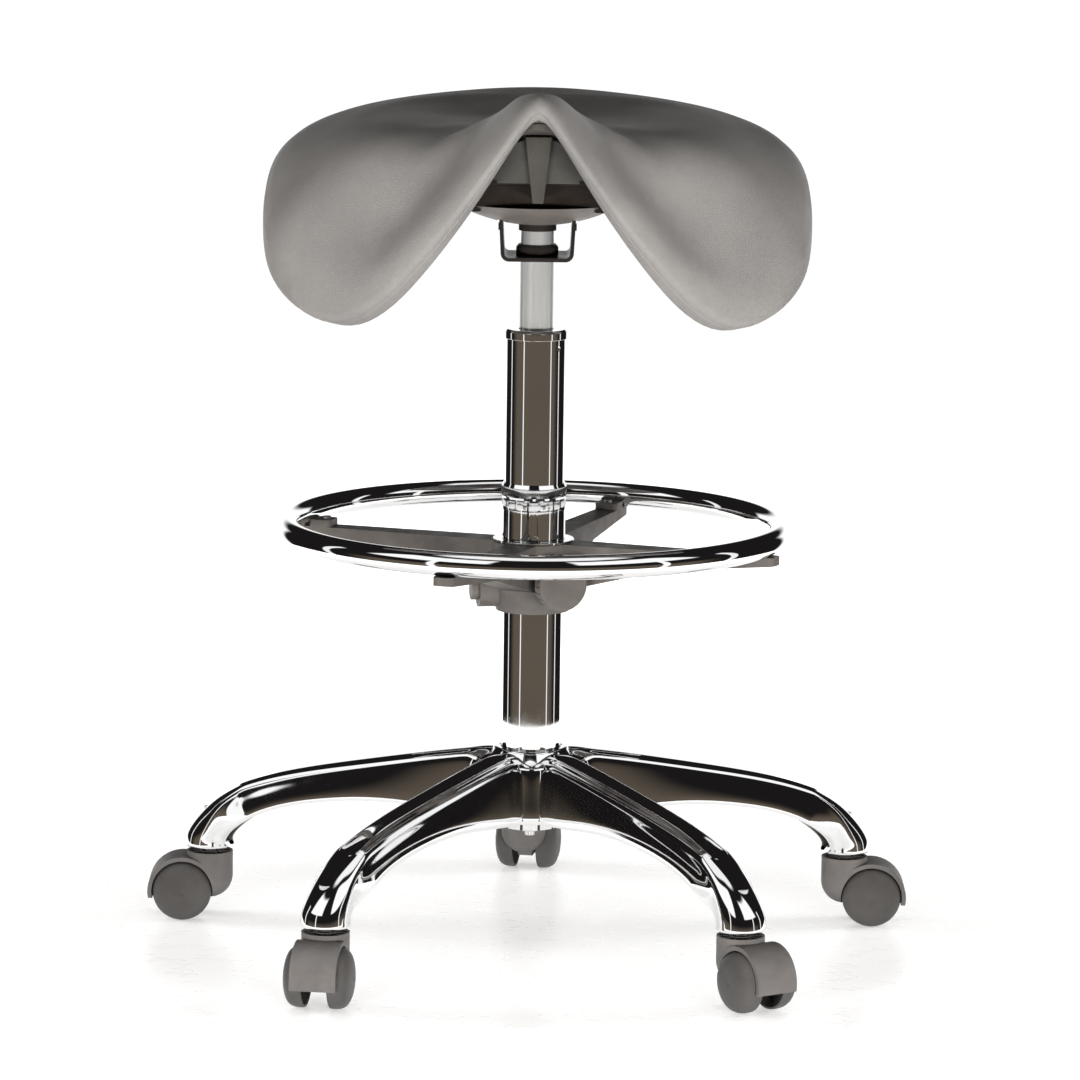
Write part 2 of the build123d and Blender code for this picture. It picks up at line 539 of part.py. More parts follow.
def wheel():
    """Hollow wheel on the +Y side: tread, domed face and hub."""
    dome = [(WHEEL_R, WHEEL_IN), (WHEEL_R, 17.0), (24.2, 20.5), (22.4, 23.2), (19.0, 25.4), (14.0, 27.1),
            (8.0, 28.1), (0, WHEEL_OUT)]
    wall = 2.2
    inside = [(0, 26.2), (8, 25.8), (14, 24.8), (18, 23.2), (20.8, 21.0), (22.2, 18.5), (WHEEL_R - wall, 16.0),
              (WHEEL_R - wall, WHEEL_IN)]
    hub_r, hub_in = 6.0, 6.8
    shell = revolve(make_face([Polyline((0, 0, WHEEL_OUT), (0, 0, 26.2)),
                               Polyline(*[(r, 0, h) for r, h in inside]),
                               Polyline((WHEEL_R - wall, 0, WHEEL_IN), (WHEEL_R, 0, WHEEL_IN)),
                               Polyline(*[(r, 0, h) for r, h in dome])]), Axis.Z, 360)
    hub = rod(hub_r, hub_in, 26.6) - rod(AXLE_R + RUNNING, 0, 25.2)
    return Pos(WHEEL_TRAIL, 0, WHEEL_R) * Rot(-90, 0, 0) * (shell - rod(AXLE_R + RUNNING, 0, 25.2) + hub)


def casters():
    body, right = caster_body(), wheel()
    left = mirror(right, Plane.XZ)
    axle = axle_rod(AXLE_R, -25, 25)
    stems = []
    for number, (spot, aim) in enumerate(zip(caster_spots(), CASTER_AIM), start=1):
        place = Pos(*spot, 0) * Rot(0, 0, aim)
        keep(f"caster_{number}_body", place * body)
        keep(f"caster_{number}_axle", place * axle)
        keep(f"caster_{number}_wheel_a", place * right)
        keep(f"caster_{number}_wheel_b", place * left)
        stems.append(rod(STEM_R, 36, 96, *spot) + rod(8, CASTER_TOP + 0.6, LEG_END_Z, *spot))
    keep("caster_stems", stems)


# ---- build --------------------------------------------------------------------------------------
def build():
    keep("star_base", star_base())
    column()
    bearing_and_rod()
    gas_cylinder()
    seat_support()
    keep("dish_cover", dish_cover())
    keep("seat_frame", seat_frame())
    keep("seat_pad", seat_pad())
    keep("seat_shell", seat_shell())
    keep("pommel_panel", pommel_panel())
    release_lever()
    foot_ring()
    casters()


os.makedirs("parts", exist_ok=True)
build()
for name, pieces in NODES.items():
    solids = [solid for piece in pieces for solid in piece.solids()]
    shape = solids[0] if len(solids) == 1 else Compound(solids)
    export_step(shape, os.path.join("parts", name + ".step"))
print(len(NODES), "nodes")
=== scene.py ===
"""Looks for the dentist stool: chrome star and ring, moulded casters, padded saddle, white studio.

Metres, +Z up. The stool's own shapes are given in millimetres and scaled by MM; the studio is in metres.
"""
import json
import math

import bmesh
import bpy
import numpy as np
from mathutils import Matrix, Vector

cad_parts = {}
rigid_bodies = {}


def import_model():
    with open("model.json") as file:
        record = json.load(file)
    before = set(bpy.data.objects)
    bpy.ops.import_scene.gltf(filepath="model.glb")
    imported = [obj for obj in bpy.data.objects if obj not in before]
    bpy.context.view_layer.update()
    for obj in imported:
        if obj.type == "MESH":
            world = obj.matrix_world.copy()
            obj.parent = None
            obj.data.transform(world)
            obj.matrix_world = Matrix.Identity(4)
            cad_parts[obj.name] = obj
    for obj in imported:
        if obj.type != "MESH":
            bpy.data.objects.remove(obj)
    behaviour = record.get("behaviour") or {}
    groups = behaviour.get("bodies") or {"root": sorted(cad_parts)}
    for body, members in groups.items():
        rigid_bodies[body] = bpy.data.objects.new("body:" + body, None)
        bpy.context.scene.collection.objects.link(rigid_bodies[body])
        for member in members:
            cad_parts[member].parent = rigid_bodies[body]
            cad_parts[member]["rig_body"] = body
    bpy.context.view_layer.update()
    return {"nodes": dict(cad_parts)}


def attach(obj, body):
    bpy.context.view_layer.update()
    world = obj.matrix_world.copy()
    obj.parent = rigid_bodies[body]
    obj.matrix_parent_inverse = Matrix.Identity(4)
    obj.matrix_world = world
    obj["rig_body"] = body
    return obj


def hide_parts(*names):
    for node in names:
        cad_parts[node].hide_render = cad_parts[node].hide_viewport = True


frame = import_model()
NODES = frame["nodes"]
MM = 0.001


# ---- materials ----------------------------------------------------------------------------------
class Paint:
    """A node material being put together."""

    def __init__(self, name, **sockets):
        self.material = bpy.data.materials.new(name)
        self.material.use_nodes = True
        self.tree = self.material.node_tree
        self.shader = self.tree.nodes["Principled BSDF"]
        for socket, value in sockets.items():
            self.shader.inputs[socket.replace("_", " ")].default_value = value
        self.place = self.node("ShaderNodeTexCoord").outputs["Object"]

    def node(self, kind, **settings):
        made = self.tree.nodes.new(kind)
        for key, value in settings.items():
            setattr(made, key, value)
        return made

    def link(self, source, target):
        self.tree.links.new(source, target)

    def stretched(self, scale):
        mapping = self.node("ShaderNodeMapping")
        mapping.inputs["Scale"].default_value = scale
        self.link(self.place, mapping.inputs["Vector"])
        return mapping.outputs["Vector"]

    def noise(self, scale, detail=3.0, rough=0.5, place=None):
        made = self.node("ShaderNodeTexNoise")
        made.inputs["Scale"].default_value = scale
        made.inputs["Detail"].default_value = detail
        made.inputs["Roughness"].default_value = rough
        self.link(place or self.place, made.inputs["Vector"])
        return made.outputs["Fac"]

    def creases(self, scale):
        """Distance to the nearest border between cells."""
        made = self.node("ShaderNodeTexVoronoi", feature="DISTANCE_TO_EDGE")
        made.inputs["Scale"].default_value = scale
        self.link(self.place, made.inputs["Vector"])
        return made.outputs["Distance"]

    def spread(self, source, low, high, start=0.3, end=0.7):
        """Maps start..end of the source to low..high."""
        made = self.node("ShaderNodeMapRange")
        limits = (("From Min", start), ("From Max", end), ("To Min", low), ("To Max", high))
        for key, value in limits:
            made.inputs[key].default_value = value
        self.link(source, made.inputs["Value"])
        return made.outputs["Result"]

    def sum(self, first, second, share=1.0):
        """first plus a share of second."""
        made = self.node("ShaderNodeMath", operation="MULTIPLY_ADD")
        self.link(second, made.inputs[0])
        made.inputs[1].default_value = share
        self.link(first, made.inputs[2])
        return made.outputs[0]

    def colours(self, source, *stops):
        made = self.node("ShaderNodeValToRGB")
        ramp = made.color_ramp
        for i, (at, colour) in enumerate(stops):
            stop = ramp.elements[i] if i < 2 else ramp.elements.new(at)
            stop.position, stop.color = at, (*colour, 1)
        self.link(source, made.inputs["Fac"])
        self.link(made.outputs["Color"], self.shader.inputs["Base Color"])

    def rough(self, source):
        self.link(source, self.shader.inputs["Roughness"])

    def bump(self, source, height):
        made = self.node("ShaderNodeBump")
        made.inputs["Strength"].default_value = 1.0
        made.inputs["Distance"].default_value = height
        self.link(source, made.inputs["Height"])
        self.link(made.outputs["Normal"], self.shader.inputs["Normal"])


def polished(name, tint, low, high):
    """Plated or polished metal: a faintly uneven tint and roughness from low to high."""
    p = Paint(name, Metallic=1.0)
    p.colours(p.noise(14), (0.3, tuple(0.94 * c for c in tint)), (0.7, tint))
    p.rough(p.spread(p.noise(90, 5), low, high))
    return p.material


def brushed(name, dark, light, low, high, scale, metal=1.0):
    """Metal with streaks that the scale stretches along one axis."""
    p = Paint(name, Metallic=metal)
    streaks = p.noise(1.0, 4, place=p.stretched(scale))
    p.colours(streaks, (0.3, dark), (0.7, light))
    p.rough(p.spread(streaks, low, high))
    p.bump(streaks, 0.00002)
    return p.material


def moulded(name, dark, light, low, high, grain, height):
    """Moulded plastic or paint: fine grain, slight mottling, scuffs in the gloss."""
    p = Paint(name)
    p.shader.inputs["Specular IOR Level"].default_value = 0.45
    p.colours(p.noise(38, 5, 0.6), (0.3, dark), (0.7, light))
    fine = p.noise(grain, 2, 0.6)
    p.rough(p.sum(p.spread(p.noise(60, 4), low, high), p.spread(fine, -0.04, 0.04)))
    p.bump(fine, height)
    return p.material


def leather():
    """Matt artificial leather: pebble cells, creases between them, faint rubbing."""
    p = Paint("seat_leather")
    p.shader.inputs["Specular IOR Level"].default_value = 0.5
    p.shader.inputs["Coat Weight"].default_value = 0.12
    p.shader.inputs["Coat Roughness"].default_value = 0.38
    mottle = p.sum(p.noise(9, 5, 0.6), p.noise(260, 3, 0.7), 0.35)
    p.colours(mottle, (0.45, (0.072, 0.068, 0.0645)), (0.9, (0.108, 0.102, 0.096)))
    pebbles = p.spread(p.creases(900), 0.0, 1.0, 0.0, 0.35)
    skin = p.sum(p.sum(pebbles, p.noise(1700, 2), 0.5), p.noise(120, 3), 0.6)
    p.rough(p.sum(p.spread(mottle, 0.50, 0.42, 0.4, 0.9), p.spread(pebbles, 0.05, -0.04, 0, 1)))
    p.bump(skin, 0.00020)
    return p.material


# metals: colour or dark and light colours, lowest and highest roughness, streak scale, metallic share
# plastics: dark and light colours, lowest and highest roughness, grain scale, bump height in metres
LOOKS = {
    "chrome": polished("chrome_plate", (0.88, 0.88, 0.885), 0.015, 0.05),
    "cast": brushed("raw_casting", (0.30, 0.29, 0.27), (0.52, 0.50, 0.47),
                    0.38, 0.6, (160, 160, 160)),
    "satin": brushed("satin_tube", (0.58, 0.58, 0.57), (0.64, 0.64, 0.63),
                     0.28, 0.34, (700, 700, 40), 0.86),
    "zinc": brushed("zinc_plate", (0.52, 0.52, 0.54), (0.80, 0.80, 0.82),
                    0.18, 0.36, (300, 300, 60)),
    "brass": polished("brass", (0.80, 0.62, 0.30), 0.15, 0.3),
    "blacksteel": moulded("black_paint", (0.0045, 0.0038, 0.0034), (0.008, 0.0068, 0.006),
                          0.30, 0.42, 700, 0.00005),
    "caster": moulded("caster_nylon", (0.034, 0.031, 0.029), (0.050, 0.046, 0.043),
                      0.46, 0.60, 1500, 0.00012),
    "wheel": moulded("wheel_nylon", (0.018, 0.0165, 0.0155), (0.027, 0.025, 0.0235),
                     0.40, 0.54, 1500, 0.00010),
    "spider": moulded("ring_hub_nylon", (0.026, 0.023, 0.021), (0.044, 0.039, 0.035),
                      0.36, 0.50, 1100, 0.00014),
    "shell": moulded("shell_plastic", (0.040, 0.036, 0.032), (0.060, 0.054, 0.048),
                     0.46, 0.60, 1200, 0.00010),
    "panel": moulded("pommel_plastic", (0.018, 0.017, 0.015), (0.026, 0.025, 0.022),
                     0.48, 0.62, 1200, 0.00010),
    "rib": moulded("pommel_rib", (0.019, 0.0175, 0.015), (0.026, 0.024, 0.021),
                   0.44, 0.56, 1200, 0.00010),
    # frame: the dark board under the shell, partly its own dark tone and partly painted shade for the
    # set-back band under the pommel
    "frame": moulded("frame_board_painted_shade", (0.0055, 0.0040, 0.0032), (0.009, 0.0065, 0.0052),
                     0.50, 0.70, 420, 0.00020),
    "dish": moulded("dish_plastic", (0.044, 0.038, 0.033), (0.058, 0.051, 0.044),
                    0.42, 0.55, 900, 0.00008),
    "bush": moulded("bush_plastic", (0.55, 0.55, 0.52), (0.68, 0.68, 0.64),
                    0.35, 0.5, 900, 0.00005),
    "rubber": moulded("rubber", (0.016, 0.016, 0.016), (0.028, 0.028, 0.028),
                      0.7, 0.85, 500, 0.00010),
    "leather": leather(),
}

NODE_LOOK = {
    "chrome": "column_tube foot_ring piston_rod star_base "
              "column_cap hub_flange collet_nut collet_jaws collet_sleeve",
    "satin": "gas_cylinder column_end_plate cylinder_end_guide socket_collar",
    "zinc": "retaining_clip bearing_lower_race bearing_balls bearing_upper_race "
            "lever_pin clip_screws clamp_screw caster_stems release_lever valve_pin",
    "brass": "valve_body",
    "blacksteel": "mount_bracket seat_plate piston plate_bolts bracket_rivets",
    "spider": "ring_spider ring_clips clamp_knob lever_grip",
    "shell": "seat_shell",
    "panel": "pommel_panel",
    "frame": "seat_frame",
    "dish": "dish_cover",
    "bush": "guide_bush",
    "rubber": "rubber_bumper",
    "leather": "seat_pad",
}
CASTERS = range(1, 6)
CASTER_LOOK = {"body": "caster", "axle": "zinc", "wheel_a": "wheel", "wheel_b": "wheel"}


def dress(name, look):
    """Gives a CAD node its look."""
    NODES[name].data.materials.clear()
    NODES[name].data.materials.append(LOOKS[look])


for look, names in NODE_LOOK.items():
    for name in names.split():
        dress(name, look)
for number in CASTERS:
    for part, look in CASTER_LOOK.items():
        dress(f"caster_{number}_{part}", look)


# ---- mesh helpers -------------------------------------------------------------------------------
MERGE, CAD_MERGE = 0.00001, 0.000004    # points closer than this, in metres, become one
FLAT_ANGLE = 0.004                      # radians: CAD facets flatter than this are joined
SHARP_ANGLE = 28                        # degrees: sharper edges are rounded off


def piece(name, points, faces, look, body, slot, *stands_for, second=None, second_faces=()):
    """A smooth mesh piece from points in millimetres, riding on a CAD body."""
    mesh = bpy.data.meshes.new(name)
    mesh.from_pydata([tuple(MM * c for c in p) for p in points], [], faces)
    mesh.materials.append(LOOKS[look])
    if second:
        mesh.materials.append(LOOKS[second])
        for i in second_faces:
            mesh.polygons[i].material_index = 1
    mesh.polygons.foreach_set("use_smooth", [True] * len(mesh.polygons))
    made = bpy.data.objects.new(name, mesh)
    bpy.context.scene.collection.objects.link(made)
    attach(made, body)
    if stands_for:
        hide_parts(*stands_for)
    return made


def strips(rows, closed=False):
    """Quads between rows of point numbers."""
    faces = []
    for a, b in zip(rows, rows[1:]):
        count = len(a) if closed else len(a) - 1
        for i in range(count):
            j = (i + 1) % len(a)
            quad = []
            for v in (a[i], a[j], b[j], b[i]):
                if v not in quad:
                    quad.append(v)
            if len(quad) > 2:
                faces.append(tuple(quad))
    return faces


def tidy(obj, distance=MERGE):
    """Joins points that lie on each other and turns every face outwards."""
    work = bmesh.new()
    work.from_mesh(obj.data)
    bmesh.ops.remove_doubles(work, verts=work.verts, dist=distance)
    bmesh.ops.recalc_face_normals(work, faces=work.faces)
    work.to_mesh(obj.data)
    work.free()


def lathe(profile, steps=96):
    """Points and faces of a (radius, z) line turned about Z."""
    points, rows = [], []
    for r, z in profile:
        if r == 0:
            rows.append([len(points)] * steps)
            points.append((0, 0, z))
            continue
        rows.append(list(range(len(points), len(points) + steps)))
        points += [(r * math.cos(2 * math.pi * i / steps), r * math.sin(2 * math.pi * i / steps), z)
                   for i in range(steps)]
    return points, strips(rows, closed=True)


def joined(*parts):
    """Several (points, faces) lists as one."""
    points, faces = [], []
    for some, quads in parts:
        faces += [tuple(v + len(points) for v in f) for f in quads]
        points += some
    return points, faces


def softened(node, width, look, steps=2):
    """Stands for a CAD node: the same shape with its sharp edges rounded off, width in millimetres."""
    source = NODES[node]
    body = source["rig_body"]
    work = bmesh.new()
    work.from_mesh(source.data)
    bmesh.ops.remove_doubles(work, verts=work.verts, dist=CAD_MERGE)
    bmesh.ops.dissolve_limit(work, angle_limit=FLAT_ANGLE, verts=work.verts, edges=work.edges,
                             delimit={"NORMAL"})
    mesh = bpy.data.meshes.new(node + "_soft")
    work.to_mesh(mesh)
    work.free()
    mesh.materials.append(LOOKS[look])
    mesh.polygons.foreach_set("use_smooth", [True] * len(mesh.polygons))
    made = bpy.data.objects.new(node + "_soft", mesh)
    bpy.context.scene.collection.objects.link(made)
    bevel = made.modifiers.new("edges", "BEVEL")
    bevel.width = width * MM
    bevel.segments = steps
    bevel.limit_method = "ANGLE"
    bevel.angle_limit = math.radians(SHARP_ANGLE)
    bevel.use_clamp_overlap = True
    bevel.harden_normals = False
    normals = made.modifiers.new("normals", "WEIGHTED_NORMAL")
    normals.keep_sharp = True
    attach(made, body)
    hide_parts(node)
    return made


# ---- saddle -------------------------------------------------------------------------------------
MIDDLE, MIDDLE_Z = (0.0, 15.0), 691.0   # where the saddle's lines meet, and the top's height there
ROLL = 9.0                              # how far the rim's roll reaches out from its root
PAD_T = 27.0                            # thickness in the middle
EXTRA_T = 3.0                           # what the underside adds to a line's own thickness
SEAM_DROP = 9.0                         # the parting line below the rim's upper edge
STEPS_ABOVE, STEPS_BELOW, AROUND = 6, 3, 176
REACH = (0.35, 0.62, 0.82)              # shares of the way out at which the top's height is given
# rim's tip x, y, z; slope there in degrees; thickness; top heights at the REACH shares
RIM = [
    (0, -152, 717, 12, 18, (699, 719, 729)),
    (11.5, -151, 705, 38, 18.5, (699, 719, 728)),
    (32, -142, 674, 50, 20.5, (698, 717, 717)),
    (54, -130, 640, 58, 22, (697, 709, 697)),
    (100, -115, 580, 62, 23, (695, 693, 652)),
    (160, -100, 536, 66, 24, (692, 675, 616)),
    (203, -66, 554, 74, 24, (692, 678, 640)),
    (218, -10, 592, 78, 24, (692, 686, 666)),
    (213, 62, 640, 68, 24, (693, 692, 682)),
    (176, 126, 664, 52, 25, (693, 697, 695)),
    (100, 163, 680, 40, 26, (692, 699, 704)),
    (0, 176, 689, 34, 26, (691, 699, 706)),
]


def curve_through(keys, steps, first=None, last=None):
    """Points of a rounded curve through the keys. first and last are the neighbours beyond the ends."""
    keys = [np.array(k, float) for k in keys]
    first = 2 * keys[0] - keys[1] if first is None else np.array(first, float)
    last = 2 * keys[-1] - keys[-2] if last is None else np.array(last, float)
    keys = [first, *keys, last]
    spans = [max(np.linalg.norm(b - a), 1e-6) for a, b in zip(keys, keys[1:])]
    out = []
    for i in range(1, len(keys) - 2):
        slopes = [((keys[k] - keys[k - 1]) / spans[k - 1] * spans[k]
                   + (keys[k + 1] - keys[k]) / spans[k] * spans[k - 1]) / (spans[k - 1] + spans[k])
                  for k in (i, i + 1)]
        for t in (s / steps for s in range(steps)):
            out.append((2 * t ** 3 - 3 * t ** 2 + 1) * keys[i]
                       + (t ** 3 - 2 * t ** 2 + t) * spans[i] * slopes[0]
                       + (3 * t ** 2 - 2 * t ** 3) * keys[i + 1]
                       + (t ** 3 - t ** 2) * spans[i] * slopes[1])
    out.append(keys[-2])
    return out


def section(row):
    """One direction's line: over the top, round the rim with its parting line, and back below."""
    x, y, z, slope, thick, heights = row
    reach = math.hypot(x - MIDDLE[0], y - MIDDLE[1])
    out, down = math.cos(math.radians(slope)), math.sin(math.radians(slope))
    top = [(0, MIDDLE_Z)] + [(reach * share, height) for share, height in zip(REACH, heights)]
    root = np.array([reach - ROLL * out, z + ROLL * down])
    outward, up = np.array([out, -down]), np.array([down, out])
    half = thick / 2

    def at(a, b):
        return root + a * outward + b * up

    seam = half - SEAM_DROP
    over = top + [at(0, half), at(5.6, half - 2.4), at(8.4, half - 5.6), at(9.2, seam)]
    below = [at(8.9, seam - 1.4), at(8.0, -half * 0.45), at(6.6, -half + 2.0), at(4.2, -half)]
    line = top + [tuple(at(0, half))]
    under = []
    for i in (3, 2, 1):
        (r0, z0), (r1, z1) = line[i - 1], line[i + 1]
        length = math.hypot(r1 - r0, z1 - z0)
        shift = thick + EXTRA_T
        under.append((line[i][0] + shift * (z1 - z0) / length,
                      line[i][1] - shift * (r1 - r0) / length))
    upper_line = curve_through(over, STEPS_ABOVE, first=(-over[1][0], over[1][1]))
    groove = [at(8.0, seam - 0.5), at(8.0, seam - 0.9)]
    lower_keys = below + [at(-4, -half - 0.4)] + under + [(0, MIDDLE_Z - PAD_T)]
    lower_line = curve_through(lower_keys, STEPS_BELOW, last=(-under[-1][0], under[-1][1]))
    return upper_line + groove + lower_line


def periodic(values, at, samples):
    """A closed cubic spline through values at the parameters, sampled evenly. values is (n, 3)."""
    n = len(values)
    h = np.diff(np.append(at, 1.0))
    system, right = np.zeros((n, n)), np.zeros((n, 3))
    for i in range(n):
        before, after = h[i - 1], h[i]
        system[i, (i - 1) % n] += before
        system[i, i] += 2 * (before + after)
        system[i, (i + 1) % n] += after
        right[i] = 6 * ((values[(i + 1) % n] - values[i]) / after
                        - (values[i] - values[i - 1]) / before)
    bend = np.linalg.solve(system, right)
    out = np.zeros((len(samples), 3))
    for k, s in enumerate(samples):
        i = int(np.searchsorted(at, s, side="right")) - 1
        j, width = (i + 1) % n, h[i]
        a, b = (at[i] + width - s) / width, (s - at[i]) / width
        out[k] = (a * values[i] + b * values[j]
                  + ((a ** 3 - a) * bend[i] + (b ** 3 - b) * bend[j]) * width ** 2 / 6)
    return out


def saddle():
    """The upholstery: one closed skin, splined round the rim and mirrored left to right."""
    lines = [section(row) for row in RIM]
    count = len(lines[0])
    around = []
    for row, line in zip(RIM, lines):
        x, y = row[0] - MIDDLE[0], row[1] - MIDDLE[1]
        reach = math.hypot(x, y)
        around.append([np.array([MIDDLE[0] + x / reach * p[0], MIDDLE[1] + y / reach * p[0], p[1]])
                       for p in line])
    around += [[p * np.array([-1, 1, 1]) for p in line] for line in around[-2:0:-1]]
    around = np.array(around)
    tips = np.array([[row[0], row[1], row[2]] for row in RIM]
                    + [[-row[0], row[1], row[2]] for row in RIM[-2:0:-1]], float)
    gaps = np.linalg.norm(np.roll(tips, -1, axis=0) - tips, axis=1)
    at = np.concatenate([[0], np.cumsum(gaps)[:-1]]) / gaps.sum()
    samples = np.arange(AROUND) / AROUND
    points, rows = [], []
    for j in range(count):
        if j in (0, count - 1):
            rows.append([len(points)] * len(samples))
            points.append(tuple(around[0, j]))
            continue
        ring = periodic(around[:, j], at, samples)
        rows.append(list(range(len(points), len(points) + len(ring))))
        points += [tuple(p) for p in ring]
    made = piece("saddle_cushion", points, strips(rows, closed=True), "leather", "seat",
                 "upholstery", "seat_pad")
    tidy(made)


saddle()


# ---- star base ----------------------------------------------------------------------------------
LEG_START, LEGS = 91.0, 5       # the first leg's direction in degrees
STEM_AT = 286.0                 # the caster stems' distance from the column
# crest x, z; underside x, z; half width; share of boot; share of raised panel; share of its round end
STATIONS = [
    (50, 163.9, 50, 110, 20.0, 0, 1, 0), (62, 162.0, 62, 110, 19.9, 0, 1, 0),
    (85, 158.4, 85, 111.8, 19.6, 0, 1, 0),
    (116, 152.7, 116, 114.6, 19.2, 0, 1, 0), (150, 146.3, 147, 114.2, 18.8, 0, 1, 0),
    (180, 140.4, 174, 111, 18.4, 0, 1, 0), (205, 134.8, 197, 107.3, 18.2, 0, 1, 0.1),
    (228, 128.5, 217, 102.3, 18.2, 0, 1, 0.35), (246, 121.8, 232, 97, 18.4, 0, 1, 0.7),
    (257, 116.9, 241, 92.6, 18.8, 0.0, 1, 1), (259.6, 115.6, 243.5, 91.2, 18.9, 0.0, 0.95, 1),
    (261, 114.8, 244.5, 90.6, 19, 0.02, 0, 1), (264, 113.2, 247, 89, 19.1, 0.05, 0, 0.9),
    (274, 107.4, 253, 84.6, 19.5, 0.2, 0, 0.5), (285, 99.5, 259, 79, 20, 0.5, 0, 0.2),
    (296, 88.5, 263, 74, 20.3, 0.85, 0, 0), (303, 79, 265, 70, 20.5, 1, 0, 0),
    (305.6, 73.4, 265.6, 68, 20.6, 1, 0, 0), (306.5, 68, 265.6, 65.6, 20.9, 1, 0, 0),
    (307, 63.9, 265.4, 63.7, 21.2, 1, 0, 0), (306.6, 62.2, 265.8, 62.2, 20.8, 1, 0, 0),
    (303, 62.1, 269, 62.1, 17, 1, 0, 0), (302.4, 66, 269.6, 66, 16.4, 1, 0, 0),
    (295, 66, 277, 66, 9, 1, 0, 0),
]
INSIDE_STATIONS = 19            # the hollow underside ends in the boot
# four points a row from the leg to the hub, as x, y, z, and the last as angle, radius, height.
# TOP_END runs up to the hub's ring, SIDE_END turns into the valley between two legs
TOP_END = [
    [(46.5, 0, 165.5), (42, 0, 166.0), (36.5, 0, 166.3), (0, 31.2, 166.3)],
    [(46.5, 4.6, 165.5), (42, 4.8, 166.0), (36.5, 5.2, 166.1), (7, 31.2, 166.0)],
    [(46.5, 8.3, 165.3), (42, 8.6, 165.5), (36.5, 9.6, 165.2), (14, 31.2, 164.6)],
    [(46.5, 9.8, 164.7), (42, 10.6, 164.5), (36.2, 12.4, 163.2), (21, 33.0, 163.0)],
    [(46.6, 11.4, 163.6), (42, 13.2, 162.6), (37.0, 15.6, 160.6), (28, 36.0, 160.2)],
    [(46.8, 14.2, 162.4), (42, 16.2, 160.2), (38.0, 18.4, 158.2), (36, 38.4, 157.3)],
]
SIDE_END = [
    [(47.0, 16.4, 160.6), (43.0, 17.6, 158.0), (40.0, 19.8, 157.0), (36, 41.2, 156.8)],
    [(47.0, 18.0, 157.4), (43.2, 18.8, 155.4), (39.9, 20.8, 154.8), (36, 42.4, 154.6)],
    [(47.0, 18.8, 152.6), (43.6, 19.5, 150.8), (40.2, 21.3, 150.0), (36, 43.6, 150.0)],
    [(47.2, 20.8, 132.0), (44.6, 21.2, 131.0), (41.2, 23.0, 130.5), (36, 46.3, 130.5)],
    [(47.6, 22.4, 115.0), (45.4, 22.8, 115.0), (42.6, 24.8, 115.0), (36, 48.4, 115.0)],
    [(47.6, 22.1, 111.3), (45.2, 22.5, 111.3), (42.4, 24.4, 111.3), (36, 48.0, 111.3)],
    [(47.4, 20.8, 110.0), (44.6, 21.2, 110.0), (41.6, 23.2, 110.0), (36, 46.6, 110.0)],
]
PANEL_END_R = 10.4              # radius of the raised panel's round end
PANEL_RISE = 1.1
PANEL_ROWS, SHOULDER_ROWS = 5, 9    # outside points up to the panel's edge, and up to the shoulder's
BOOT_WRAP, WALL = 0.86, 4.0     # the boot is open towards the hub
# radius and z of the turned ring round the column's foot, and of the hub's core below it
HUB_RING = [(37.5, 150), (38.6, 157.0), (38.3, 157.7), (32.0, 166.2), (31.4, 168.0), (30.5, 168.5),
            (26.0, 168.5), (25.3, 168.2), (25.1, 167), (25.1, 150)]
HUB_CORE = [(25.3, 108.6), (42.5, 108.6), (43.6, 109.4), (43.6, 111), (30, 150)]
HUB_STEPS, STAR_MERGE, STAR_SMOOTHING = 128, 0.00005, 2


def leg_rows(station):
    """The cross-section's points at one station: 13 outside, 4 inside."""
    xc, zc, xb, zb, w, boot, raised, end = station
    crest, depth = np.array([xc, 0, zc]), np.array([xb - xc, 0, zb - zc])
    h = np.linalg.norm(depth)
    down = depth / h
    forward = np.array([-down[2], 0, down[0]])
    rise = PANEL_RISE * raised
    flat = [(-rise, 0), (-rise, 4.6), (-rise * 0.97, 8.4), (-rise * 0.8, 9.4), (0.2, 10.2),
            (0.9, 12.8), (2.0, w - 4.0), (4.4, w - 2.4), (8.6, w - 1.7), (h * 0.5, w),
            (h - 4, w + 1.7), (h - 1, w + 1.5), (h, w + 0.3)]
    inner = [(h - 0.6, w - 2.0, 0.80), (9, w - 5.5, 0.55), (6, w - 8.5, 0.28), (5.2, 0, 0)]
    out, inside = [], []
    for k, (a, y) in enumerate(flat):
        angle = BOOT_WRAP * math.pi * k / (len(flat) - 1)
        a = (1 - boot) * a + boot * (1 - math.cos(angle)) * h / 2
        side = (1 - boot) * y + boot * w * math.sin(angle)
        back = 0.0
        if k < PANEL_ROWS:
            back = end * (PANEL_END_R - math.sqrt(max(PANEL_END_R ** 2 - y ** 2, 0)))
        elif k < SHOULDER_ROWS:
            back = end * PANEL_END_R * (SHOULDER_ROWS - k) / PANEL_ROWS
        out.append(crest + a * down - back * forward + np.array([0, side, 0]))
    for a, y, share in inner:
        bend = (1 - math.cos(share * math.pi)) * (h / 2 - WALL)
        a = (1 - boot) * a + boot * (WALL + bend)
        side = (1 - boot) * max(y, 0) + boot * (w - WALL) * math.sin(share * math.pi)
        inside.append(crest + a * down + np.array([0, side, 0]))
    return out, inside


